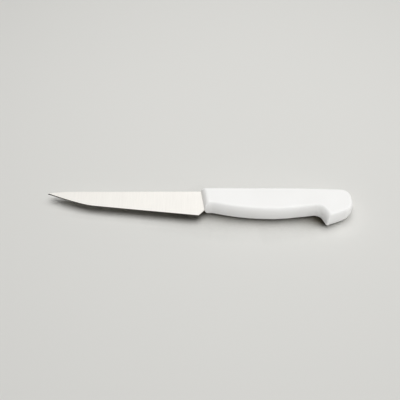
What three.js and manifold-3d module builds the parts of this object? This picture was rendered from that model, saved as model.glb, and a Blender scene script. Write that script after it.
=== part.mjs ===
// A small cheese knife: a stamped steel blade with its tang, and a white handle moulded round the tang.
// Sizes are in millimetres. The knife lies on its side: +X runs from the point to the butt, +Y towards the
// spine and +Z up. Places in plan are measured from where the blade's spine line meets the handle's front.
import * as THREE from 'three';
import { mergeVertices } from 'three/addons/utils/BufferGeometryUtils.js';
import Module from 'manifold-3d';

// Blade
const bladeLength = 118.1;
const heelDepth = 22.1;
const heelAhead = 1.9;
const heelAngle = THREE.MathUtils.degToRad(45.5);
const edgeAngle = THREE.MathUtils.degToRad(6.2);
const pointAngle = THREE.MathUtils.degToRad(20.6);
const edgeCurveRun = 9;
const pointDrop = 1.6;
const pointDropRun = 18;
const pointHeight = 0.6;
const spineThickness = 1.6;
const pointThickness = 0.8;
const bevelHeight = 0.8;
const bevelThickness = 0.5;
const edgeThickness = 0.1;

// Tang, the part of the strip inside the handle
const shoulderDepth = 6.5;
const shoulderOverlap = 2;
const tangLength = 80;
const tangTopDepth = 2.6;
const tangRootHeight = 10.4;
const tangEndHeight = 8;
const tangHoleRadius = 2.75;
const tangHoleCount = 3;
const firstHolePlace = 16;
const holePitch = 25;
const tangClearance = 0.3;

// Handle: its outline in plan, on the middle plane where the two mould halves meet
const handleLength = 115.4;
const handleThickness = 15.2;
const spineRise = 1.5;
const spineStraightLength = 40;
const spineBendPlace = 76;
const frontHeight = 18.6;
const frontLean = 2.9;
const bellyDepth = 22.8;
const bellyStartPlace = 8;
const bellyFrontBendPlace = 11;
const bellyMiddleBendPlace = 27;
const bellyLowPlace = 55.5;
const bellyRearBendPlace = 63;
const notchPlace = 89.9;
const notchDepth = 19.2;
const notchRadius = 5;
const hookPlace = 94;
const hookDepth = 28.7;
const buttTopDepth = 1.2;
const buttBottomDepth = 20.6;
const buttTopRadius = 8.5;
const buttBottomRadius = 12;

// Handle: the corners that stay tight, as radii on the middle plane and on the flat sides
const frontTopRadius = 2;
const frontBottomRadius = 0.8;
const frontFlatRadius = 1.5;
const hookRadius = 1.2;
const hookFlatRadius = 1.2;

// Handle: how far in from the outline its flat sides start, and the upright band where the halves part
const edgeRun = 3.5;
const spineEdgeRun = 5;
const frontEdgeRun = 4.15;
const buttEdgeRun = 2.4;
const partingBand = 0.6;

// Handle: the section of its edge, a bulging wall that takes a share of the run and ends in a soft crease
const wallTurn = THREE.MathUtils.degToRad(45);
const wallShare = 0.77;
const creaseStart = 0.85;

// Fineness of the round stretches
const edgeCurveSteps = 16;
const bladeStraightSteps = 4;
const bendSteps = 10;
const cornerSteps = 4;
const wallSteps = 3;
const creaseSteps = 3;
const holeSides = 24;

const wasm = await Module();
wasm.setup();

const at = (x, y) => new THREE.Vector2(x, y);

// Booleans

function solidOf(geometry) {
  const bare = geometry.clone();
  bare.deleteAttribute('normal');
  bare.deleteAttribute('uv');
  const merged = mergeVertices(bare);
  const mesh = new wasm.Mesh({
    numProp: 3,
    vertProperties: new Float32Array(merged.getAttribute('position').array),
    triVerts: new Uint32Array(merged.getIndex().array),
  });
  return new wasm.Manifold(mesh);
}

function geometryOf(solid) {
  const mesh = solid.getMesh();
  const geometry = new THREE.BufferGeometry();
  geometry.setAttribute('position', new THREE.BufferAttribute(mesh.vertProperties, 3));
  geometry.setIndex(new THREE.BufferAttribute(mesh.triVerts, 1));
  geometry.computeVertexNormals();
  return geometry;
}

// A closed skin through a row of rings with equal counts of points. Each ring turns anticlockwise as seen
// against the way the row runs, and capOutline is the flat shape of the two end rings.
function loft(rings, capOutline) {
  const count = capOutline.length;
  const last = (rings.length - 1) * count;
  const index = [];
  for (let r = 0; r + 1 < rings.length; r++) {
    for (let i = 0; i < count; i++) {
      const a = r * count + i;
      const b = r * count + (i + 1) % count;
      index.push(a, b, b + count, a, b + count, a + count);
    }
  }
  for (const [a, b, c] of THREE.ShapeUtils.triangulateShape(capOutline, [])) {
    index.push(c, b, a, last + a, last + b, last + c);
  }
  const geometry = new THREE.BufferGeometry().setFromPoints(rings.flat());
  geometry.setIndex(index);
  return geometry;
}

// Blade

const point = at(-bladeLength, -pointDrop - pointHeight);
const heel = at(-heelAhead, -heelDepth);

// The straight edge and the line through the point cross where the edge's curve bends.
function edgeBend() {
  const edgeSlope = Math.tan(edgeAngle);
  const pointSlope = Math.tan(pointAngle);
  const x = (heel.y - point.y + edgeSlope * heel.x - pointSlope * point.x) / (edgeSlope - pointSlope);
  return at(x, heel.y - edgeSlope * (x - heel.x));
}

// Points along the cutting edge, from the point to the straight edge carried on past the heel.
function edgeLine(grow) {
  const bend = edgeBend();
  const along = heel.clone().sub(bend).normalize();
  const straightStart = bend.clone().addScaledVector(along, edgeCurveRun);
  const straightEnd = bend.clone().addScaledVector(along, (shoulderDepth + grow - bend.x) / along.x);
  const curve = new THREE.QuadraticBezierCurve(point, bend, straightStart).getPoints(edgeCurveSteps);
  const straight = new THREE.LineCurve(straightStart, straightEnd).getPoints(bladeStraightSteps);
  return [...curve, ...straight.slice(1)];
}

// The ground wedge of the blade, with its fine edge bevel. grow widens it for the handle's slot.
function wedge(grow) {
  const rings = edgeLine(grow).map((edge) => {
    const share = THREE.MathUtils.clamp(-edge.x / bladeLength, 0, 1);
    const dropShare = Math.max(0, (pointDropRun - bladeLength - edge.x) / pointDropRun);
    const spineY = -pointDrop * dropShare ** 2;
    const bevelY = edge.y + Math.min(bevelHeight, (spineY - edge.y) / 2);
    const spineHalf = THREE.MathUtils.lerp(spineThickness, pointThickness, share) / 2 + grow;
    const bevelHalf = bevelThickness / 2 + grow;
    const edgeHalf = edgeThickness / 2 + grow;
    return [
      [spineY + grow, -spineHalf], [spineY + grow, spineHalf],
      [bevelY, bevelHalf], [edge.y - grow, edgeHalf],
      [edge.y - grow, -edgeHalf], [bevelY, -bevelHalf],
    ].map(([y, z]) => new THREE.Vector3(edge.x, y, z));
  });
  return solidOf(loft(rings, rings[0].map(({ y, z }) => at(y, z))));
}

// What the slanted cut takes away behind the heel.
function heelOffcut(grow) {
  const reach = 2 * heelDepth;
  const block = new THREE.BoxGeometry(2 * reach, reach, handleThickness);
  block.translate(0, -reach / 2 - grow, 0);
  block.rotateZ(heelAngle);
  block.translate(heel.x, heel.y, 0);
  return solidOf(block);
}

function plate(outline, thickness) {
  const shape = new THREE.Shape(outline);
  const geometry = new THREE.ExtrudeGeometry(shape, { depth: thickness, bevelEnabled: false });
  geometry.translate(0, 0, -thickness / 2);
  return solidOf(geometry);
}

function tang(grow) {
  const rootX = shoulderDepth - shoulderOverlap - grow;
  const endX = shoulderDepth + tangLength + grow;
  const topY = -tangTopDepth + grow;
  const rootBottomY = -tangTopDepth - tangRootHeight - grow;
  const endBottomY = -tangTopDepth - tangEndHeight - grow;
  const outline = [at(rootX, rootBottomY), at(endX, endBottomY), at(endX, topY), at(rootX, topY)];
  return plate(outline, spineThickness + 2 * grow);
}

const strip = (grow) => wedge(grow).subtract(heelOffcut(grow)).add(tang(grow));

// Round rods at the tang's hole places, down the middle of the tang.
function rods(radius) {
  const solids = [];
  for (let i = 0; i < tangHoleCount; i++) {
    const along = firstHolePlace + i * holePitch;
    const height = THREE.MathUtils.lerp(tangRootHeight, tangEndHeight, along / tangLength);
    const rod = new THREE.CylinderGeometry(radius, radius, handleThickness / 2, holeSides);
    rod.rotateX(Math.PI / 2);
    rod.translate(shoulderDepth + along, -tangTopDepth - height / 2, 0);
    solids.push(solidOf(rod));
  }
  return solids.reduce((all, rod) => all.add(rod));
}

// Handle

const outward = (from, to) => at(to.y - from.y, from.x - to.x).normalize();

// The shift that carries a corner inwards by its own inset from each of the two sides that meet there.
function cornerShift(normalA, normalB, insetA, insetB) {
  const x = insetB * normalA.y - insetA * normalB.y;
  const y = insetA * normalB.x - insetB * normalA.x;
  return at(x, y).divideScalar(normalA.cross(normalB));
}

// A round corner of the outline, as an arc that touches both of its sides.
function roundCorner(before, corner, after, radius) {
  const normalA = outward(before, corner);
  const normalB = outward(corner, after);
  const turn = normalA.cross(normalB);
  const inset = Math.sign(turn) * radius;
  const centre = corner.clone().add(cornerShift(normalA, normalB, inset, inset));
  const flip = turn < 0 ? Math.PI : 0;
  const startAngle = normalA.angle() + flip;
  const endAngle = normalB.angle() + flip;
  return new THREE.ArcCurve(centre.x, centre.y, radius, startAngle, endAngle, turn < 0);
}

// One point of the handle's outline: its place on the middle plane, and the shift that carries it inwards
// to the flat side.
const rim = (place, shift) => ({ place, shift });

function rimAlong(curve, startRun, endRun) {
  const points = [];
  for (let i = 0; i <= bendSteps; i++) {
    const t = i / bendSteps;
    const tangent = curve.getTangent(t);
    const run = THREE.MathUtils.lerp(startRun, endRun, t);
    points.push(rim(curve.getPoint(t), at(-tangent.y, tangent.x).multiplyScalar(run)));
  }
  return points;
}

// A tight corner, where the flat side's corner is a mitre of the two sides that meet there.
function rimCorner(before, corner, after, runBefore, runAfter, radius, flatRadius) {
  const normalA = outward(before, corner);
  const normalB = outward(corner, after);
  const turn = normalA.angleTo(normalB);
  const mitre = cornerShift(normalA, normalB, runBefore, runAfter);
  const unit = cornerShift(normalA, normalB, 1, 1);
  const points = [];
  for (let i = 0; i <= cornerSteps; i++) {
    const swing = normalA.clone().rotateAround(at(0, 0), turn * i / cornerSteps).add(unit);
    points.push(rim(
      corner.clone().addScaledVector(swing, radius),
      mitre.clone().addScaledVector(swing, flatRadius - radius),
    ));
  }
  return points;
}

// The outline, anticlockwise from the front's spine corner: down the front, along the belly into the
// finger notch, round the hook, along its underside, up the butt and back along the spine.
function handleRim() {
  const frontTop = at(0, spineRise);
  const frontBottom = at(frontLean, spineRise - frontHeight);
  const bellyStart = at(bellyStartPlace, frontBottom.y);
  const bellyFrontBend = at(bellyFrontBendPlace, frontBottom.y);
  const bellyMiddleBend = at(bellyMiddleBendPlace, -bellyDepth);
  const bellyLow = at(bellyLowPlace, -bellyDepth);
  const bellyRearBend = at(bellyRearBendPlace, -bellyDepth);
  const notch = at(notchPlace, -notchDepth);
  const hook = at(hookPlace, -hookDepth);
  const buttBottom = at(handleLength, -buttBottomDepth);
  const buttTop = at(handleLength, -buttTopDepth);
  const spineBend = at(spineBendPlace, spineRise);
  const spineStart = at(spineStraightLength, spineRise);

  const notchArc = roundCorner(bellyRearBend, notch, hook, notchRadius);
  const buttBottomArc = roundCorner(hook, buttBottom, buttTop, buttBottomRadius);
  const buttTopArc = roundCorner(buttBottom, buttTop, spineBend, buttTopRadius);
  const bellyFront = new THREE.CubicBezierCurve(bellyStart, bellyFrontBend, bellyMiddleBend, bellyLow);
  const bellyRear = new THREE.QuadraticBezierCurve(bellyLow, bellyRearBend, notchArc.getPoint(0));
  const spine = new THREE.QuadraticBezierCurve(buttTopArc.getPoint(1), spineBend, spineStart);

  return [
    ...rimCorner(
      spineStart, frontTop, frontBottom, spineEdgeRun, frontEdgeRun, frontTopRadius, frontFlatRadius,
    ),
    ...rimCorner(
      frontTop, frontBottom, bellyStart, frontEdgeRun, edgeRun, frontBottomRadius, frontFlatRadius,
    ),
    ...rimAlong(bellyFront, edgeRun, edgeRun),
    ...rimAlong(bellyRear, edgeRun, edgeRun).slice(1, -1),
    ...rimAlong(notchArc, edgeRun, edgeRun),
    ...rimCorner(notch, hook, buttBottom, edgeRun, buttEdgeRun, hookRadius, hookFlatRadius),
    ...rimAlong(buttBottomArc, buttEdgeRun, edgeRun),
    ...rimAlong(buttTopArc, edgeRun, edgeRun),
    ...rimAlong(spine, edgeRun, spineEdgeRun).slice(1),
  ];
}

// The edge's section from the parting band to the flat side, as shares of the run inwards and of the rise.
function edgeSection() {
  const wall = (turn) => at(
    wallShare * (1 - Math.cos(turn)) / (1 - Math.cos(wallTurn)),
    Math.sin(turn) / Math.sin(wallTurn),
  );
  const creaseTurn = creaseStart * wallTurn;
  const wallPoints = Array.from({ length: wallSteps }, (_, step) => wall(creaseTurn * step / wallSteps));
  const crease = new THREE.QuadraticBezierCurve(wall(creaseTurn), at(wallShare, 1), at(1, 1));
  return [...wallPoints, ...crease.getPoints(creaseSteps)];
}

// The moulding: rings from one flat side, round the edge and the parting band, to the other side.
function moulding() {
  const drop = (handleThickness - partingBand) / 2;
  const points = handleRim();
  const ringAt = (share, side) => points.map(({ place, shift }) => {
    const { x, y } = place.clone().addScaledVector(shift, share.x);
    return new THREE.Vector3(x, y, side * (partingBand / 2 + drop * share.y));
  });
  const section = edgeSection();
  const lower = section.toReversed().map((share) => ringAt(share, -1));
  const upper = section.map((share) => ringAt(share, 1));
  return solidOf(loft([...lower, ...upper], lower[0].map(({ x, y }) => at(x, y))));
}

// Assembly

const steel = new THREE.MeshStandardMaterial({ color: 0xe6e0d4, metalness: 1, roughness: 0.3 });
const whitePlastic = new THREE.MeshStandardMaterial({ color: 0xf1f1ef, metalness: 0, roughness: 0.45 });

const slot = strip(tangClearance).subtract(rods(tangHoleRadius - tangClearance));

const blade = new THREE.Mesh(geometryOf(strip(0).subtract(rods(tangHoleRadius))), steel);
blade.name = 'blade';

const handle = new THREE.Mesh(geometryOf(moulding().subtract(slot)), whitePlastic);
handle.name = 'handle';

// The origin is under the middle of the whole knife, on the surface that it lies on.
const knife = new THREE.Group();
knife.add(blade, handle);
const box = new THREE.Box3().setFromObject(knife);
const centre = box.getCenter(new THREE.Vector3());
knife.position.set(-centre.x, -centre.y, -box.min.z);

export default knife;
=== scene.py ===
# %% [markdown]
# # A small cheese knife
# The knife has two pieces: a ground steel blade, and a white plastic handle that was moulded round the
# blade's tang. It lies on its side on a pale surface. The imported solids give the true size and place, so
# every piece here is built in the same frame, in metres, and needs no fitting.

# %% Load the frame
import math

import bmesh
import bpy
from mathutils import Matrix, Vector


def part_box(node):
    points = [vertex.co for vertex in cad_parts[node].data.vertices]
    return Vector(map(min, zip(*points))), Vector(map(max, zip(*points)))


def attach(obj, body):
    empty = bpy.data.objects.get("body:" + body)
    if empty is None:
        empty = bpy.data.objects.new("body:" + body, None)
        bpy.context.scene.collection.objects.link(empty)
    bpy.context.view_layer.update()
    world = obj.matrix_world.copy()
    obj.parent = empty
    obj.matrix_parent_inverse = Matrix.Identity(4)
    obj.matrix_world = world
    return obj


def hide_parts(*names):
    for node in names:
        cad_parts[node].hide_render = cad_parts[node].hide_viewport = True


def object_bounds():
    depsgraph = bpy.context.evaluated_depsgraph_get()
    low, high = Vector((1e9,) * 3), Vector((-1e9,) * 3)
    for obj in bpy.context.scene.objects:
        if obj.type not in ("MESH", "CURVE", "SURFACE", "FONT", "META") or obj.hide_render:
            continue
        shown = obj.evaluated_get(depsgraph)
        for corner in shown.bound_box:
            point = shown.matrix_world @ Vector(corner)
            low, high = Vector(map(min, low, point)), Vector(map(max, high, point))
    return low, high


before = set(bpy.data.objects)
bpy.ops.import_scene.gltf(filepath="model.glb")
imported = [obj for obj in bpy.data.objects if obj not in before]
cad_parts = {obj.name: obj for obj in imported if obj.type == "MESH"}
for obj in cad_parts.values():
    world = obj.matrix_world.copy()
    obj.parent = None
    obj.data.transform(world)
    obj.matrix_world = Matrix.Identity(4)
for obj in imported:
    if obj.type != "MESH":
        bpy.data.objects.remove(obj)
cad_low, cad_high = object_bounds()
scene = bpy.context.scene
MM = 0.001
print("packed solids:", len(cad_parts))
print("knife box, mm:", [round(side / MM, 2) for side in cad_high - cad_low])

# %% [markdown]
# ## One zero for the plan
# Seen from above, both pieces can be drawn on one sheet of paper. The sheet's zero is where the line of
# the blade's spine meets the front of the handle, on the middle plane of the blade. The handle's box
# fixes it: the butt is one handle length behind it, and the top of the spine is a small rise above it.
# Places on the sheet are given in millimetres, and one helper turns them into metres.

# %% Find the zero of the plan
HANDLE_LENGTH = 115.4 * MM
SPINE_RISE = 1.5 * MM

handle_low, handle_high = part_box("handle")
handle_thickness = handle_high.z - handle_low.z
middle_height = handle_low.z + handle_thickness / 2
zero = Vector((handle_high.x - HANDLE_LENGTH, handle_high.y - SPINE_RISE, middle_height))
to_frame = Matrix.Translation(zero)


def at(x, y):
    return Vector((x, y)) * MM


print("zero of the plan, mm:", [round(place / MM, 2) for place in zero])

# %% [markdown]
# ## The camera
# The picture looks down on the knife, with the blade to the left and the cutting edge towards the viewer.
# The near ends of upright edges show how steep the view is and how close the camera stands: it is tilted
# 36 degrees from straight down, and about 41 cm away. The target is a point on the table near the
# junction.

# %% Place the camera
CAMERA_TILT = math.radians(36)
CAMERA_DISTANCE = 408.8 * MM
IMAGE_SIZE = 400
FOCAL_PIXELS = 520
SENSOR_WIDTH = 36.0
CLIP_START = 0.01
TARGET_FROM_ZERO = at(-0.5, -2.07)

camera_data = bpy.data.cameras.new("camera")
camera_data.sensor_width = SENSOR_WIDTH
camera_data.lens = SENSOR_WIDTH * FOCAL_PIXELS / IMAGE_SIZE
camera_data.clip_start = CLIP_START
camera = bpy.data.objects.new("camera", camera_data)
scene.collection.objects.link(camera)
target = Vector((zero.x + TARGET_FROM_ZERO.x, zero.y + TARGET_FROM_ZERO.y, cad_low.z))
backwards = Vector((0, -math.sin(CAMERA_TILT), math.cos(CAMERA_TILT)))
camera.location = target + backwards * CAMERA_DISTANCE
camera.rotation_euler = (CAMERA_TILT, 0, 0)
scene.camera = camera
print("camera lens, mm:", round(camera_data.lens, 1))

# %% [markdown]
# ## Helpers for node trees
# A node tree is a small program that is drawn with boxes and wires. These helpers write it down in lines:
# one wires or sets an input, one adds a box with its inputs, one adds a sum of numbers, and one adds a
# sum of arrows. Each takes a socket or a plain value.

# %% Node helpers


def plug(tree, socket, value):
    if isinstance(value, bpy.types.NodeSocket):
        tree.links.new(value, socket)
    else:
        socket.default_value = value


def add_node(tree, kind, settings=None, **inputs):
    node = tree.nodes.new(kind)
    for name, value in (settings or {}).items():
        setattr(node, name, value)
    for name, value in inputs.items():
        plug(tree, node.inputs[name.replace("_", " ")], value)
    return node


def calc(tree, operation, *values):
    node = tree.nodes.new("ShaderNodeMath")
    node.operation = operation
    for socket, value in zip(node.inputs, values):
        plug(tree, socket, value)
    return node.outputs[0]


def shift_vector(tree, operation, first, second):
    node = tree.nodes.new("ShaderNodeVectorMath")
    node.operation = operation
    plug(tree, node.inputs[0], first)
    plug(tree, node.inputs["Scale"] if operation == "SCALE" else node.inputs[1], second)
    return node.outputs[0]


print("node helpers are ready")

# %% [markdown]
# ## White plastic
# The handle is a hard white plastic with a satin skin. Plain white would look like a computer model, so
# the material adds what a moulding shows from close by: a very fine grain, slow clouds in the white, a
# skin that is rubbed a little smoother in places, and hairline scuffs. Its front is also darker in
# blotches within 3 mm of the blade. Everything is placed by Object coordinates, in metres, so a scale of
# 1000 gives features of one millimetre.

# %% Material helpers


def new_material(name):
    material = bpy.data.materials.new(name)
    material.use_nodes = True
    tree = material.node_tree
    place = add_node(tree, "ShaderNodeTexCoord").outputs["Object"]
    return material, tree, tree.nodes["Principled BSDF"], place


def noise(tree, coordinates, scale, detail=2.0, stretch=(1, 1, 1), turn=0.0):
    mapped = add_node(tree, "ShaderNodeMapping", Vector=coordinates, Scale=stretch, Rotation=(0, 0, turn))
    node = add_node(tree, "ShaderNodeTexNoise", Vector=mapped.outputs[0], Scale=scale, Detail=detail)
    return node.outputs[0]


def remap(tree, value, low, high, new_low, new_high):
    node = add_node(
        tree, "ShaderNodeMapRange",
        Value=value, From_Min=low, From_Max=high, To_Min=new_low, To_Max=new_high,
    )
    return node.outputs[0]


def mix_colour(tree, share, first, second):
    node = add_node(tree, "ShaderNodeMix", {"data_type": "RGBA"})
    plug(tree, node.inputs["Factor"], share)
    colours = [socket for socket in node.inputs if socket.type == "RGBA"]
    plug(tree, colours[0], first)
    plug(tree, colours[1], second)
    return next(socket for socket in node.outputs if socket.type == "RGBA")


def bump(tree, height, distance, strength, normal=None):
    node = add_node(tree, "ShaderNodeBump", Height=height, Distance=distance, Strength=strength)
    if normal:
        tree.links.new(normal, node.inputs["Normal"])
    return node.outputs[0]


print("material helpers are ready")

# %% Make the plastic
HANDLE_WHITE = (0.9, 0.895, 0.881, 1)
HANDLE_CLOUD = (0.88, 0.875, 0.858, 1)
# a darker tone that the handle's front takes in blotches near the blade
HANDLE_NEAR_BLADE_TONE = (0.56, 0.54, 0.48, 1)
CLOUD_SCALE = 38
CLOUD_RANGE = (0.35, 0.7)
NEAR_BLADE_REACH = 3.0 * MM
NEAR_BLADE_BLOTCH_SCALE = 420
NEAR_BLADE_BLOTCH_RANGE = (0.42, 0.68)
NEAR_BLADE_MOST = 0.5
RUB_SCALE = 95
RUB_STRETCH = (0.4, 1, 1)
RUB_RANGE = (0.3, 0.7)
SKIN_ROUGHNESS = (0.36, 0.5)
SCUFF_STRETCH = (90, 2600, 2600)
SCUFF_TURN = math.radians(11)
SCUFF_RANGE = (0.66, 0.72)
SCUFF_ROUGHNESS = 0.1
SCUFF_STRENGTH = 0.3
GRAIN_SCALE = 2600
GRAIN_STRENGTH = 0.25
SKIN_RELIEF = 0.02 * MM
PLASTIC_IOR = 1.49


def white_plastic():
    material, tree, shader, place = new_material("white_plastic")
    clouds = remap(tree, noise(tree, place, CLOUD_SCALE, detail=3), *CLOUD_RANGE, 0, 1)
    colour = mix_colour(tree, clouds, HANDLE_WHITE, HANDLE_CLOUD)

    along = add_node(tree, "ShaderNodeSeparateXYZ", Vector=place).outputs["X"]
    # darker blotches on the handle's front, fading out within a few millimetres of the blade
    near_blade = remap(tree, along, zero.x, zero.x + NEAR_BLADE_REACH, 1, 0)
    blotches = remap(tree, noise(tree, place, NEAR_BLADE_BLOTCH_SCALE, detail=4), *NEAR_BLADE_BLOTCH_RANGE, 0, NEAR_BLADE_MOST)
    near_blade_darkening = calc(tree, "MULTIPLY", near_blade, blotches)
    tree.links.new(mix_colour(tree, near_blade_darkening, colour, HANDLE_NEAR_BLADE_TONE), shader.inputs["Base Color"])

    rubbing = noise(tree, place, RUB_SCALE, detail=4, stretch=RUB_STRETCH)
    rubbed = remap(tree, rubbing, *RUB_RANGE, *SKIN_ROUGHNESS)
    hairs = noise(tree, place, 1.0, detail=1, stretch=SCUFF_STRETCH, turn=SCUFF_TURN)
    scuffs = remap(tree, hairs, *SCUFF_RANGE, 0, SCUFF_ROUGHNESS)
    tree.links.new(calc(tree, "ADD", rubbed, scuffs), shader.inputs["Roughness"])

    grain = bump(tree, noise(tree, place, GRAIN_SCALE, detail=2), SKIN_RELIEF, GRAIN_STRENGTH)
    tree.links.new(bump(tree, scuffs, SKIN_RELIEF, SCUFF_STRENGTH, grain), shader.inputs["Normal"])
    shader.inputs["IOR"].default_value = PLASTIC_IOR
    return material


plastic = white_plastic()
print("made", plastic.name, "with", len(plastic.node_tree.nodes), "nodes")

# %% [markdown]
# ## Ground steel
# The blade was ground on a wide belt, which leaves fine lines across it, from the spine to the edge. Each
# line is far thinner than a pixel, but together they turn a mirror into satin. A noise that is squeezed
# hard along the blade makes such lines, and drives colour, roughness and a shallow bump. The tone also
# falls off slowly from the heel towards the point: that is a painted reflection, brightest at the heel.
# The last strip along the edge was honed on a stone, lengthwise, and it has a material of its own,
# painted nearly black: a painted dark reflection of the shade under the blade.

# %% Make the two steels
STEEL_LIGHT = (0.985, 0.96, 0.907, 1)
STEEL_DARK = (0.831, 0.81, 0.765, 1)
# the honed edge's two tones are nearly black: painted shade, a painted dark reflection of the shadow under
# the blade
EDGE_PAINTED_SHADE_PALE = (0.07, 0.068, 0.064, 1)
EDGE_PAINTED_SHADE_DEEP = (0.03, 0.029, 0.027, 1)
BLADE_LENGTH = 118.1
BELT_LINES = (5200, 60, 60)
STONE_LINES = (240, 6400, 6400)
LINE_WEIGHT = 0.7
LINE_RELIEF = 0.004 * MM
LINE_STRENGTH = 0.3
STAIN_SCALE = 55
STAIN_WEIGHT = 0.3
TONE_RANGE = (0.35, 0.65)
TONE_SHARE = 0.4
# share of a painted reflection that lightens the blade from the point towards the heel
PAINTED_REFLECTION_SHARE = 0.6
GLOSS_RANGE = (0.3, 0.7)


def lined_steel(name, line_stretch, light, dark, smooth, rough):
    material, tree, shader, place = new_material(name)
    lines = noise(tree, place, 1.0, detail=3, stretch=line_stretch)
    stains = noise(tree, place, STAIN_SCALE, detail=3)
    line_part = calc(tree, "MULTIPLY", lines, LINE_WEIGHT)
    tone = calc(tree, "ADD", line_part, calc(tree, "MULTIPLY", stains, STAIN_WEIGHT))
    along = add_node(tree, "ShaderNodeSeparateXYZ", Vector=place).outputs["X"]
    # painted reflection: the colour is lighter towards the heel and darker towards the point
    painted_reflection = remap(tree, along, zero.x - BLADE_LENGTH * MM, zero.x, 0, PAINTED_REFLECTION_SHARE)
    share = calc(tree, "ADD", remap(tree, tone, *TONE_RANGE, 0, TONE_SHARE), painted_reflection)
    tree.links.new(mix_colour(tree, share, dark, light), shader.inputs["Base Color"])
    tree.links.new(remap(tree, tone, *GLOSS_RANGE, rough, smooth), shader.inputs["Roughness"])
    tree.links.new(bump(tree, lines, LINE_RELIEF, LINE_STRENGTH), shader.inputs["Normal"])
    shader.inputs["Metallic"].default_value = 1.0
    return material


ground_steel = lined_steel("ground_steel", BELT_LINES, STEEL_LIGHT, STEEL_DARK, smooth=0.26, rough=0.38)
# the honed edge is painted nearly black: a painted dark reflection
honed_steel = lined_steel("honed_steel", STONE_LINES, EDGE_PAINTED_SHADE_PALE, EDGE_PAINTED_SHADE_DEEP, smooth=0.16, rough=0.3)
print("made", ground_steel.name, "and", honed_steel.name)

# %% [markdown]
# ## The handle's outline
# The two halves of the mould meet on the middle plane, and there the handle has its largest outline. It
# is made of a few stretches: straight lines, arcs that round a corner, and Bezier curves for the belly
# and the back. Each point also gets an inset, the arrow that leads from the outline in to where the flat
# side starts. The inset is longest at the spine and the front, shorter at the belly, and shortest under
# the butt.

# %% Draw stretches of the outline
BEND_STEPS = 48
CORNER_STEPS = 10


def outward(start, end):
    along = end - start
    return Vector((along.y, -along.x)).normalized()


def turned(arrow, angle):
    return Matrix.Rotation(angle, 2) @ arrow


def corner_shift(normal_a, normal_b, inset_a, inset_b):
    across = normal_a.x * normal_b.y - normal_a.y * normal_b.x
    x = inset_b * normal_a.y - inset_a * normal_b.y
    y = inset_a * normal_b.x - inset_b * normal_a.x
    return Vector((x, y)) / across


def turn_between(normal_a, normal_b):
    return math.atan2(normal_a.x * normal_b.y - normal_a.y * normal_b.x, normal_a.dot(normal_b))


def bezier(knots, t):
    while len(knots) > 2:
        knots = [a.lerp(b, t) for a, b in zip(knots, knots[1:])]
    start, end = knots
    return start.lerp(end, t), outward(start, end)


def arc(before, corner, after, radius):
    normal = outward(before, corner)
    turn = turn_between(normal, outward(corner, after))
    inset = math.copysign(radius, turn)
    centre = corner + corner_shift(normal, outward(corner, after), inset, inset)
    return lambda t: (centre + turned(normal, turn * t) * inset, turned(normal, turn * t))


def stretch(curve, start_run, end_run):
    rim = []
    for i in range(BEND_STEPS + 1):
        t = i / BEND_STEPS
        place, normal = curve(t)
        rim.append((place, -normal * (start_run + (end_run - start_run) * t)))
    return rim


def tight_corner(before, corner, after, run_before, run_after, radius, flat_radius):
    normal_a = outward(before, corner)
    normal_b = outward(corner, after)
    turn = turn_between(normal_a, normal_b)
    mitre = corner_shift(normal_a, normal_b, run_before, run_after)
    unit = corner_shift(normal_a, normal_b, 1, 1)
    rim = []
    for i in range(CORNER_STEPS + 1):
        swing = turned(normal_a, turn * i / CORNER_STEPS) + unit
        rim.append((corner + swing * radius, mitre + swing * (flat_radius - radius)))
    return rim


print("steps for each bend and corner:", BEND_STEPS, CORNER_STEPS)

# %% Lay out the whole outline
EDGE_RUN = 3.5 * MM
SPINE_RUN = 5.0 * MM
FRONT_RUN = 4.15 * MM
BUTT_RUN = 2.4 * MM
FRONT_TOP_RADIUS = 2 * MM
FRONT_BOTTOM_RADIUS = 0.8 * MM
FRONT_FLAT_RADIUS = 1.5 * MM
NOTCH_RADIUS = 5 * MM
HOOK_RADIUS = 1.2 * MM
BUTT_BOTTOM_RADIUS = 12 * MM
BUTT_TOP_RADIUS = 8.5 * MM
BELLY_DEPTH = 22.8
FRONT_BOTTOM_DEPTH = 17.1

spine_start = at(40, SPINE_RISE / MM)
spine_bend = at(76, SPINE_RISE / MM)
front_top = at(0, SPINE_RISE / MM)
front_bottom = at(2.9, -FRONT_BOTTOM_DEPTH)
belly_start = at(8, -FRONT_BOTTOM_DEPTH)
belly_front_bend = at(11, -FRONT_BOTTOM_DEPTH)
belly_middle_bend = at(27, -BELLY_DEPTH)
belly_low = at(55.5, -BELLY_DEPTH)
belly_rear_bend = at(63, -BELLY_DEPTH)
notch = at(89.9, -19.2)
hook = at(94, -28.7)
butt_bottom = at(HANDLE_LENGTH / MM, -20.6)
butt_top = at(HANDLE_LENGTH / MM, -1.2)

notch_arc = arc(belly_rear_bend, notch, hook, NOTCH_RADIUS)
butt_bottom_arc = arc(hook, butt_bottom, butt_top, BUTT_BOTTOM_RADIUS)
butt_top_arc = arc(butt_bottom, butt_top, spine_bend, BUTT_TOP_RADIUS)
belly_front = [belly_start, belly_front_bend, belly_middle_bend, belly_low]
belly_rear = [belly_low, belly_rear_bend, notch_arc(0)[0]]
spine = [butt_top_arc(1)[0], spine_bend, spine_start]

front_top_corner = tight_corner(
    spine_start, front_top, front_bottom, SPINE_RUN, FRONT_RUN, FRONT_TOP_RADIUS, FRONT_FLAT_RADIUS,
)
front_bottom_corner = tight_corner(
    front_top, front_bottom, belly_start, FRONT_RUN, EDGE_RUN, FRONT_BOTTOM_RADIUS, FRONT_FLAT_RADIUS,
)
hook_corner = tight_corner(notch, hook, butt_bottom, EDGE_RUN, BUTT_RUN, HOOK_RADIUS, HOOK_RADIUS)

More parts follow.
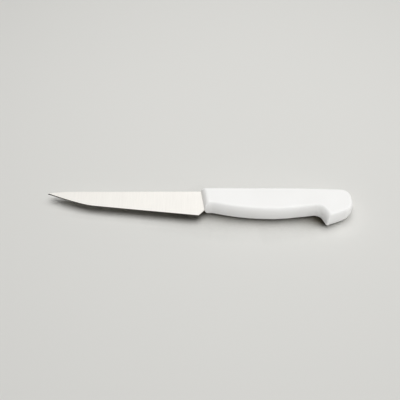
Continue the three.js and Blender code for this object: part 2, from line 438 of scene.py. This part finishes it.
rim = [
    *front_top_corner,
    *front_bottom_corner,
    *stretch(lambda t: bezier(belly_front, t), EDGE_RUN, EDGE_RUN),
    *stretch(lambda t: bezier(belly_rear, t), EDGE_RUN, EDGE_RUN)[1:-1],
    *stretch(notch_arc, EDGE_RUN, EDGE_RUN),
    *hook_corner,
    *stretch(butt_bottom_arc, BUTT_RUN, EDGE_RUN),
    *stretch(butt_top_arc, EDGE_RUN, EDGE_RUN),
    *stretch(lambda t: bezier(spine, t), EDGE_RUN, SPINE_RUN)[1:],
]
print("outline points:", len(rim))

# %% [markdown]
# ## The section of the edge
# Cut through, the handle's edge is the same everywhere: an upright band where the mould parts, a wall
# that bulges outwards in an arc, and a soft crease where the wall meets the flat side. Only its run
# inwards differs from place to place. So one section serves the whole handle: x is a share of the run,
# and z a share of half the thickness. The lower half is the upper half's mirror image, and the point
# between them stands out by a hair: that is the fine line that a mould leaves where its halves meet.

# %% Draw the section of the edge
WALL_TURN = math.radians(45)
WALL_SHARE = 0.77
CREASE_START = 0.85
PARTING_BAND = 0.6 * MM
SEAM_WIDTH = 0.24 * MM
SEAM_SHARE = 0.012
WALL_STEPS = 16
CREASE_STEPS = 12


def wall_share(turn):
    run = WALL_SHARE * (1 - math.cos(turn)) / (1 - math.cos(WALL_TURN))
    return Vector((run, math.sin(turn) / math.sin(WALL_TURN)))


def edge_section():
    crease_turn = CREASE_START * WALL_TURN
    bend = [wall_share(crease_turn), Vector((WALL_SHARE, 1)), Vector((1, 1))]
    wall = [wall_share(crease_turn * i / WALL_STEPS) for i in range(WALL_STEPS)]
    crease = [bezier(bend, i / CREASE_STEPS)[0] for i in range(CREASE_STEPS + 1)]
    band = PARTING_BAND / handle_thickness
    upper = [(0, SEAM_WIDTH / handle_thickness)]
    upper += [(run, band + (1 - band) * rise) for run, rise in wall + crease]
    lower = [(run, -rise) for run, rise in reversed(upper)]
    return lower + [(-SEAM_SHARE, 0)] + upper


section = edge_section()
print("section points:", len(section))

# %% [markdown]
# ## The moulding, as a rule
# The handle's whole form follows one rule: the section goes once round the outline, and stretches with
# the inset of each point. Curve to Mesh can sweep a section, but it can't stretch it sideways to suit
# each place, so Geometry Nodes hold the rule itself. A grid gets one column for each point of the outline
# and one row for each point of the section. Sample Index fetches the outline's point, its inset and the
# section's shares, and Set Position puts every grid point in its place. Fill Curve closes the two flat
# sides, and Merge by Distance sews the seams.

# %% Helpers for the handle's node tree


def point_count(tree, geometry):
    return add_node(tree, "GeometryNodeAttributeDomainSize", Geometry=geometry).outputs["Point Count"]


def sampled(tree, geometry, value, at_index):
    settings = {"data_type": "FLOAT_VECTOR", "domain": "POINT"}
    return add_node(
        tree, "GeometryNodeSampleIndex", settings, Geometry=geometry, Value=value, Index=at_index,
    ).outputs[0]


def flat_sides(tree, outline, inset, half):
    flat_edge = add_node(tree, "GeometryNodeSetPosition", Geometry=outline, Offset=inset).outputs[0]
    flat_curve = add_node(tree, "GeometryNodeMeshToCurve", Mesh=flat_edge).outputs[0]
    flat_side = add_node(tree, "GeometryNodeFillCurve", {"mode": "NGONS"}, Curve=flat_curve).outputs[0]
    up = add_node(tree, "ShaderNodeCombineXYZ", Z=half).outputs[0]
    down = add_node(tree, "ShaderNodeCombineXYZ", Z=calc(tree, "MULTIPLY", half, -1)).outputs[0]
    upper = add_node(tree, "GeometryNodeTransform", Geometry=flat_side, Translation=up).outputs[0]
    flipped = add_node(tree, "GeometryNodeFlipFaces", Mesh=flat_side).outputs[0]
    lower = add_node(tree, "GeometryNodeTransform", Geometry=flipped, Translation=down).outputs[0]
    return upper, lower


print("tree helpers are ready")

# %% Build the handle's node tree
SEWING_DISTANCE = 0.001 * MM


def handle_tree():
    tree = bpy.data.node_groups.new("handle_moulding", "GeometryNodeTree")
    sockets = [
        ("Outline", "INPUT", "NodeSocketGeometry"),
        ("Section", "INPUT", "NodeSocketObject"),
        ("Thickness", "INPUT", "NodeSocketFloat"),
        ("Finish", "INPUT", "NodeSocketMaterial"),
        ("Handle", "OUTPUT", "NodeSocketGeometry"),
    ]
    for name, direction, kind in sockets:
        tree.interface.new_socket(name, in_out=direction, socket_type=kind)
    given = add_node(tree, "NodeGroupInput").outputs
    outline = given["Outline"]
    profile = add_node(tree, "GeometryNodeObjectInfo", Object=given["Section"]).outputs["Geometry"]
    half = calc(tree, "MULTIPLY", given["Thickness"], 0.5)

    points = point_count(tree, outline)
    rows = point_count(tree, profile)
    columns = calc(tree, "ADD", points, 1)
    grid = add_node(tree, "GeometryNodeMeshGrid", Vertices_X=columns, Vertices_Y=rows).outputs["Mesh"]
    index = add_node(tree, "GeometryNodeInputIndex").outputs[0]
    column = calc(tree, "FLOOR", calc(tree, "DIVIDE", index, rows))
    row = calc(tree, "SUBTRACT", index, calc(tree, "MULTIPLY", column, rows))
    outline_index = calc(tree, "MODULO", column, points)

    position = add_node(tree, "GeometryNodeInputPosition").outputs[0]
    inset_field = add_node(
        tree, "GeometryNodeInputNamedAttribute", {"data_type": "FLOAT_VECTOR"}, Name="inset",
    ).outputs["Attribute"]
    place = sampled(tree, outline, position, outline_index)
    inset = sampled(tree, outline, inset_field, outline_index)
    share = add_node(tree, "ShaderNodeSeparateXYZ", Vector=sampled(tree, profile, position, row)).outputs

    inwards = shift_vector(tree, "SCALE", inset, share["X"])
    lift = add_node(tree, "ShaderNodeCombineXYZ", Z=calc(tree, "MULTIPLY", share["Z"], half)).outputs[0]
    moved = shift_vector(tree, "ADD", place, shift_vector(tree, "ADD", inwards, lift))
    wall = add_node(tree, "GeometryNodeSetPosition", Geometry=grid, Position=moved).outputs[0]

    joined = add_node(tree, "GeometryNodeJoinGeometry")
    for part in (wall, *flat_sides(tree, outline, inset_field, half)):
        tree.links.new(part, joined.inputs[0])
    sewn = add_node(
        tree, "GeometryNodeMergeByDistance", Geometry=joined.outputs[0], Distance=SEWING_DISTANCE,
    ).outputs[0]
    real = add_node(tree, "GeometryNodeRealizeInstances", Geometry=sewn).outputs[0]
    finished = add_node(tree, "GeometryNodeSetMaterial", Geometry=real, Material=given["Finish"]).outputs[0]
    add_node(tree, "NodeGroupOutput", Handle=finished)
    return tree


moulding_tree = handle_tree()
print("handle tree:", len(moulding_tree.nodes), "nodes")

# %% [markdown]
# ## From the rule to a plain mesh
# The tree is hung on an object whose mesh is only the outline: points, edges and the inset arrows. The
# section is a second such object, which goes once the handle is made. The tree's inputs are set by their
# identifiers, and the evaluated result is kept as a plain mesh, with the modifier gone.

# %% Mould the handle


def settle(piece):
    depsgraph = bpy.context.evaluated_depsgraph_get()
    mesh = bpy.data.meshes.new_from_object(piece.evaluated_get(depsgraph))
    piece.modifiers.clear()
    piece.data = mesh
    mesh.name = piece.name


def new_piece(name, mesh):
    piece = bpy.data.objects.new(name, mesh)
    scene.collection.objects.link(piece)
    return piece


def outline_mesh():
    mesh = bpy.data.meshes.new("handle_outline")
    count = len(rim)
    places = [(place.x, place.y, 0) for place, inset in rim]
    mesh.from_pydata(places, [(i, (i + 1) % count) for i in range(count)], [])
    insets = mesh.attributes.new("inset", "FLOAT_VECTOR", "POINT")
    for i, (place, inset) in enumerate(rim):
        insets.data[i].vector = (inset.x, inset.y, 0)
    return mesh


def section_mesh():
    mesh = bpy.data.meshes.new("edge_section")
    mesh.from_pydata([(run, 0, rise) for run, rise in section], [], [])
    return mesh


handle = new_piece("moulded_handle", outline_mesh())
section_piece = new_piece("edge_section", section_mesh())
moulding = handle.modifiers.new("moulding", "NODES")
moulding.node_group = moulding_tree
identifiers = {item.name: item.identifier for item in moulding_tree.interface.items_tree}
moulding[identifiers["Section"]] = section_piece
moulding[identifiers["Thickness"]] = handle_thickness
moulding[identifiers["Finish"]] = plastic
settle(handle)
bpy.data.objects.remove(section_piece)
print("handle faces:", len(handle.data.polygons))

# %% [markdown]
# ## The blade
# A knife blade is a long wedge: thick at the spine, thin above the edge, with a last steep bevel that
# cuts. It is built as a loft, a row of equal sections that are joined into a skin. Each section hangs on
# one point of the cutting edge, and that line is a straight run with a Bezier bend up to the point. A
# loft was chosen over a bevelled plate because the thickness changes both along the blade and across it.
# The bevel is a hair wide at the heel and widens at the curved point, where a stone takes off more. Its
# faces have the same places in every section, so the loft can give them the honed steel, painted nearly
# black as a painted dark reflection, as it makes them.
# The blade's sizes are plain millimetres, and the loft turns them into metres.

# %% Draw the cutting edge
POINT_DROP = 1.6
POINT_HEIGHT = 0.6
HEEL_SETBACK = 1.9
HEEL_DEPTH = 22.1
EDGE_ANGLE = math.radians(6.2)
POINT_ANGLE = math.radians(20.6)
EDGE_CURVE_RUN = 9
SHOULDER_DEPTH = 6.5
EDGE_CURVE_STEPS = 60
EDGE_STRAIGHT_STEPS = 40
heel = Vector((-HEEL_SETBACK, -HEEL_DEPTH))
point = Vector((-BLADE_LENGTH, -POINT_DROP - POINT_HEIGHT))


def edge_line(grow):
    slope = math.tan(EDGE_ANGLE)
    point_slope = math.tan(POINT_ANGLE)
    x = (heel.y - point.y + slope * heel.x - point_slope * point.x) / (slope - point_slope)
    bend = Vector((x, heel.y - slope * (x - heel.x)))
    along = (heel - bend).normalized()
    straight_start = bend + along * EDGE_CURVE_RUN
    straight_end = bend + along * ((SHOULDER_DEPTH + grow - bend.x) / along.x)
    knots = [point, bend, straight_start]
    curve = [bezier(knots, i / EDGE_CURVE_STEPS)[0] for i in range(EDGE_CURVE_STEPS)]
    shares = [i / EDGE_STRAIGHT_STEPS for i in range(EDGE_STRAIGHT_STEPS + 1)]
    return curve + [straight_start.lerp(straight_end, share) for share in shares]


print("cutting edge points:", len(edge_line(0)))

# %% Draw the sections of the wedge
POINT_DROP_RUN = 18
SPINE_THICKNESS = 1.6
POINT_THICKNESS = 0.8
SPINE_CHAMFER = 0.12
BEVEL_HEIGHT_AT_HEEL = 0.25
BEVEL_HEIGHT_AT_POINT = 0.8
BEVEL_GROWTH_POWER = 4
BEVEL_THICKNESS = 0.5
BEVEL_SHARE_AT_POINT = 0.8
EDGE_THICKNESS = 0.1


def wedge_section(edge, grow):
    share = min(max(-edge.x / BLADE_LENGTH, 0), 1)
    drop_share = max(0, (POINT_DROP_RUN - BLADE_LENGTH - edge.x) / POINT_DROP_RUN)
    spine_y = -POINT_DROP * drop_share ** 2
    bevel_growth = (BEVEL_HEIGHT_AT_POINT - BEVEL_HEIGHT_AT_HEEL) * share ** BEVEL_GROWTH_POWER
    bevel_height = BEVEL_HEIGHT_AT_HEEL + bevel_growth
    bevel_y = edge.y + min(bevel_height, BEVEL_SHARE_AT_POINT * (spine_y - edge.y))
    spine_half = (SPINE_THICKNESS + (POINT_THICKNESS - SPINE_THICKNESS) * share) / 2 + grow
    half_section = [
        (spine_y + grow, spine_half - SPINE_CHAMFER),
        (spine_y + grow - SPINE_CHAMFER, spine_half),
        (bevel_y, BEVEL_THICKNESS / 2 + grow),
        (edge.y - grow, EDGE_THICKNESS / 2 + grow),
    ]
    mirrored = [(y, -z) for y, z in reversed(half_section)]
    return [Vector((edge.x, y, z)) for y, z in half_section + mirrored]


print("points in a section:", len(wedge_section(heel, 0)))

# %% Loft the wedge of the blade
# the bevel's faces, which get the honed steel that is painted nearly black as a painted dark reflection
HONED_PAINTED_DARK_FACES = (2, 3, 4)


def loft(name, sections, honed=()):
    shell = bmesh.new()
    rings = [[shell.verts.new(place * MM) for place in section] for section in sections]
    for ring, following in zip(rings, rings[1:]):
        for i in range(len(ring)):
            j = (i + 1) % len(ring)
            face = shell.faces.new((ring[i], ring[j], following[j], following[i]))
            # faces listed in honed get the second material: honed steel painted nearly black, a painted
            # dark reflection
            face.material_index = int(i in honed)
    shell.faces.new(reversed(rings[0]))
    shell.faces.new(rings[-1])
    bmesh.ops.recalc_face_normals(shell, faces=shell.faces)
    mesh = bpy.data.meshes.new(name)
    shell.to_mesh(mesh)
    shell.free()
    return new_piece(name, mesh)


def wedge(name, grow):
    return loft(name, [wedge_section(edge, grow) for edge in edge_line(grow)], HONED_PAINTED_DARK_FACES)


blade = wedge("ground_blade", 0)
blade.data.materials.append(ground_steel)
# second material: the honed edge, painted nearly black as a painted dark reflection
blade.data.materials.append(honed_steel)
print("wedge faces:", len(blade.data.polygons))

# %% [markdown]
# ## Heel and tang
# The real strip is stamped first: a slanted cut takes off the corner behind the heel, and a narrow tang
# with three holes runs on into the handle. Cutting and joining is what the Boolean modifier does well, so
# the cut is a turned box, the tang is a plate and the holes are rods. The same shapes, grown by a small
# clearance, are the hollow that the steel leaves in the plastic, and the plastic that ran through the
# holes locks the two.

# %% Helpers for cutting and joining


def combine(piece, operation, tool):
    change = piece.modifiers.new("combine", "BOOLEAN")
    change.operation = operation
    change.solver = "EXACT"
    change.object = tool
    settle(piece)
    bpy.data.objects.remove(tool)


def slab(name, outline, half_thickness):
    heights = (-half_thickness, half_thickness)
    return loft(name, [[Vector((x, y, z)) for x, y in outline] for z in heights])


print("cutting helpers are ready")

# %% Cut the heel and add the tang
HEEL_ANGLE = math.radians(45.5)
SHOULDER_OVERLAP = 2
TANG_LENGTH = 80
TANG_TOP_DEPTH = 2.6
TANG_ROOT_HEIGHT = 10.4
TANG_END_HEIGHT = 8
TANG_HOLE_RADIUS = 2.75
TANG_HOLE_PLACES = (16, 41, 66)
TANG_CLEARANCE = 0.3
HOLE_SIDES = 48


def heel_offcut(grow):
    reach = 2 * heel.y
    corners = [(reach, 0), (-reach, 0), (-reach, reach), (reach, reach)]
    shifted = [turned(Vector((x, y - grow)), HEEL_ANGLE) + heel for x, y in corners]
    return slab("heel_offcut", shifted, SPINE_THICKNESS + grow)


def tang_plate(grow):
    root_x = SHOULDER_DEPTH - SHOULDER_OVERLAP - grow
    end_x = SHOULDER_DEPTH + TANG_LENGTH + grow
    top_y = -TANG_TOP_DEPTH + grow
    root_y = -TANG_TOP_DEPTH - TANG_ROOT_HEIGHT - grow
    end_y = -TANG_TOP_DEPTH - TANG_END_HEIGHT - grow
    outline = [(root_x, root_y), (end_x, end_y), (end_x, top_y), (root_x, top_y)]
    return slab("tang_plate", outline, SPINE_THICKNESS / 2 + grow)


def tang_rod(along, radius):
    height = TANG_ROOT_HEIGHT + (TANG_END_HEIGHT - TANG_ROOT_HEIGHT) * along / TANG_LENGTH
    centre = Vector((SHOULDER_DEPTH + along, -TANG_TOP_DEPTH - height / 2))
    spokes = [turned(Vector((radius, 0)), 2 * math.pi * i / HOLE_SIDES) for i in range(HOLE_SIDES)]
    return slab("tang_rod", [centre + spoke for spoke in spokes], 2 * SPINE_THICKNESS)


def finish_strip(strip, grow):
    combine(strip, "DIFFERENCE", heel_offcut(grow))
    combine(strip, "UNION", tang_plate(grow))
    for along in TANG_HOLE_PLACES:
        combine(strip, "DIFFERENCE", tang_rod(along, TANG_HOLE_RADIUS - grow))


finish_strip(blade, 0)
hollow = wedge("tang_hollow", TANG_CLEARANCE)
finish_strip(hollow, TANG_CLEARANCE)
combine(handle, "DIFFERENCE", hollow)
print("blade faces:", len(blade.data.polygons), "and handle faces:", len(handle.data.polygons))

# %% [markdown]
# ## Smooth and sharp edges
# Smooth shading blends the light across faces, and that is right on a round edge and wrong on a crease.
# So all faces are smooth, and edges that bend more than a set angle are marked sharp. The blade needs a
# small angle, because its bevel turns by little. Here the pieces also move from the plan's zero to their
# place, and the handle gets the plastic as its only finish, because cutting can leave an empty slot.

# %% Shade the pieces
HANDLE_CREASE = math.radians(35)
BLADE_CREASE = math.radians(5)


def shade(piece, crease):
    mesh = piece.data
    mesh.transform(to_frame)
    mesh.polygons.foreach_set("use_smooth", [True] * len(mesh.polygons))
    mesh.set_sharp_from_angle(angle=crease)


shade(handle, HANDLE_CREASE)
shade(blade, BLADE_CREASE)
handle.data.materials.clear()
handle.data.materials.append(plastic)
print("honed faces:", sum(face.material_index for face in blade.data.polygons))

# %% [markdown]
# ## Tie the pieces to the knife
# Each piece stands for the solid of the same part and moves with the knife's one body.

for piece, node, finish in ((handle, "handle", "handle_plastic"), (blade, "blade", "blade_steel")):
    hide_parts(node)
    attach(piece, "root")
    print(piece.name, "stands for", node)

# %% [markdown]
# ## Table
# The knife lies on a plain pale table. It sits a hair below the solids, so that the two surfaces don't
# fight for the same pixels, and it has no gloss. The camera and reflections see it pale, but the light
# that it throws back up is that of a darker table, which keeps the shadows and the lower walls of the
# handle deep. The white handle still throws light into its own shadow, so an Ambient Occlusion node
# measures how open each spot is towards the butt's side, and the paint goes dark and warm where the knife
# shelters it. Far from the knife the table fades into the white of the world, as a paper sweep does in a
# studio, so no horizon shows.

# %% Lay the table
TABLE_SIZE = 8.0
TABLE_DROP = 0.02 * MM
TABLE_COLOUR = (0.705, 0.701, 0.674, 1)
TABLE_BOUNCE = (0.4, 0.398, 0.382, 1)
SHADE_COLOUR = (0.047, 0.039, 0.024, 1)
SHADE_LEAN = Vector((1, 0.1, 0.2))
SHADE_REACH = 50 * MM
SHADE_FULL = 0.47
SHADE_NONE = 0.87
FADE_START = 0.42
FADE_END = 1.0
TABLE_ROUGHNESS = 0.7
BLACK = (0, 0, 0, 1)
WHITE = (1, 1, 1, 1)


def seen_rays(tree):
    rays = add_node(tree, "ShaderNodeLightPath").outputs
    seen = calc(tree, "MAXIMUM", rays["Is Camera Ray"], rays["Is Glossy Ray"])
    return calc(tree, "MAXIMUM", seen, rays["Is Transmission Ray"])


def open_share(tree):
    lean = add_node(tree, "ShaderNodeCombineXYZ", X=SHADE_LEAN.x, Y=SHADE_LEAN.y, Z=SHADE_LEAN.z).outputs[0]
    sky = add_node(tree, "ShaderNodeAmbientOcclusion", Distance=SHADE_REACH, Normal=lean).outputs["AO"]
    return remap(tree, sky, SHADE_FULL, SHADE_NONE, 0, 1)


def pale_table():
    half = TABLE_SIZE / 2
    height = cad_low.z - TABLE_DROP
    corners = [(-half, -half, height), (half, -half, height), (half, half, height), (-half, half, height)]
    mesh = bpy.data.meshes.new("table")
    mesh.from_pydata(corners, [], [(0, 1, 2, 3)])
    material, tree, shader, place = new_material("table_finish")
    seen = seen_rays(tree)
    reach = add_node(tree, "ShaderNodeVectorMath", {"operation": "LENGTH"}, Vector=place).outputs["Value"]
    glow = calc(tree, "MULTIPLY", seen, remap(tree, reach, FADE_START, FADE_END, 0, 1))
    seen_paint = mix_colour(tree, open_share(tree), SHADE_COLOUR, TABLE_COLOUR)
    paint = mix_colour(tree, seen, TABLE_BOUNCE, seen_paint)
    tree.links.new(mix_colour(tree, glow, paint, BLACK), shader.inputs["Base Color"])
    tree.links.new(glow, shader.inputs["Emission Strength"])
    shader.inputs["Emission Color"].default_value = WHITE
    shader.inputs["Roughness"].default_value = TABLE_ROUGHNESS
    shader.inputs["Specular IOR Level"].default_value = 0.0
    material.cycles.emission_sampling = "NONE"
    mesh.materials.append(material)
    return new_piece("table", mesh)


table = pale_table()
print("table side, m:", TABLE_SIZE)

# %% [markdown]
# ## Light
# A wide soft lamp hangs above, a little towards the spine, so the shadow falls under the cutting edge and
# the belly. Low strips stand beside the table like white cards: they reach the upright walls and hardly
# touch the table, so the shadow stays deep. The world looks white to the camera and to reflections, and
# that is what makes the satin blade read as pale steel. The lamps themselves are left out of reflections.

# %% Set the light
WORLD_LIGHT = 0.03
WORLD_SEEN = 1.0
LAMP_TILT = math.radians(6)
LAMP_SIDE = 0.08
LAMP_DISTANCE = 1.0
LAMP_SIZE = 1.0
LAMP_POWER = 11.75
STRIP_DISTANCE = 1.2
STRIP_LENGTH = 1.2
STRIP_HEIGHT = 0.06
STRIPS = {
    "near_strip": (Vector((0.2, -0.98, 0)), 5.1),
    "butt_strip": (Vector((0.97, -0.24, 0)), 3.9),
    "point_strip": (Vector((-0.97, -0.24, 0)), 0.8),
    "far_strip": (Vector((-0.5, 0.866, 0)), 2.0),
}


def studio_world():
    world = bpy.data.worlds.new("studio")
    world.use_nodes = True
    tree = world.node_tree
    background = tree.nodes["Background"]
    background.inputs["Color"].default_value = WHITE
    strength = calc(tree, "MULTIPLY_ADD", seen_rays(tree), WORLD_SEEN - WORLD_LIGHT, WORLD_LIGHT)
    tree.links.new(strength, background.inputs["Strength"])
    return world


def soft_lamp(name, place, width, height, power):
    data = bpy.data.lights.new(name, "AREA")
    data.shape = "ELLIPSE"
    data.size = width
    data.size_y = height
    data.energy = power
    lamp = bpy.data.objects.new(name, data)
    scene.collection.objects.link(lamp)
    lamp.location = target + place
    lamp.rotation_euler = (-place).to_track_quat("-Z", "Y").to_euler()
    lamp.visible_camera = False
    lamp.visible_glossy = False
    print(name, "height, m:", round(lamp.location.z, 2))


scene.world = studio_world()
above = Vector((LAMP_SIDE, math.sin(LAMP_TILT), math.cos(LAMP_TILT))) * LAMP_DISTANCE
soft_lamp("overhead_lamp", above, LAMP_SIZE, LAMP_SIZE, LAMP_POWER)
strip_rise = Vector((0, 0, STRIP_HEIGHT / 2))
for name, (direction, power) in STRIPS.items():
    soft_lamp(name, direction * STRIP_DISTANCE + strip_rise, STRIP_LENGTH, STRIP_HEIGHT, power)
scene.view_settings.view_transform = "Standard"
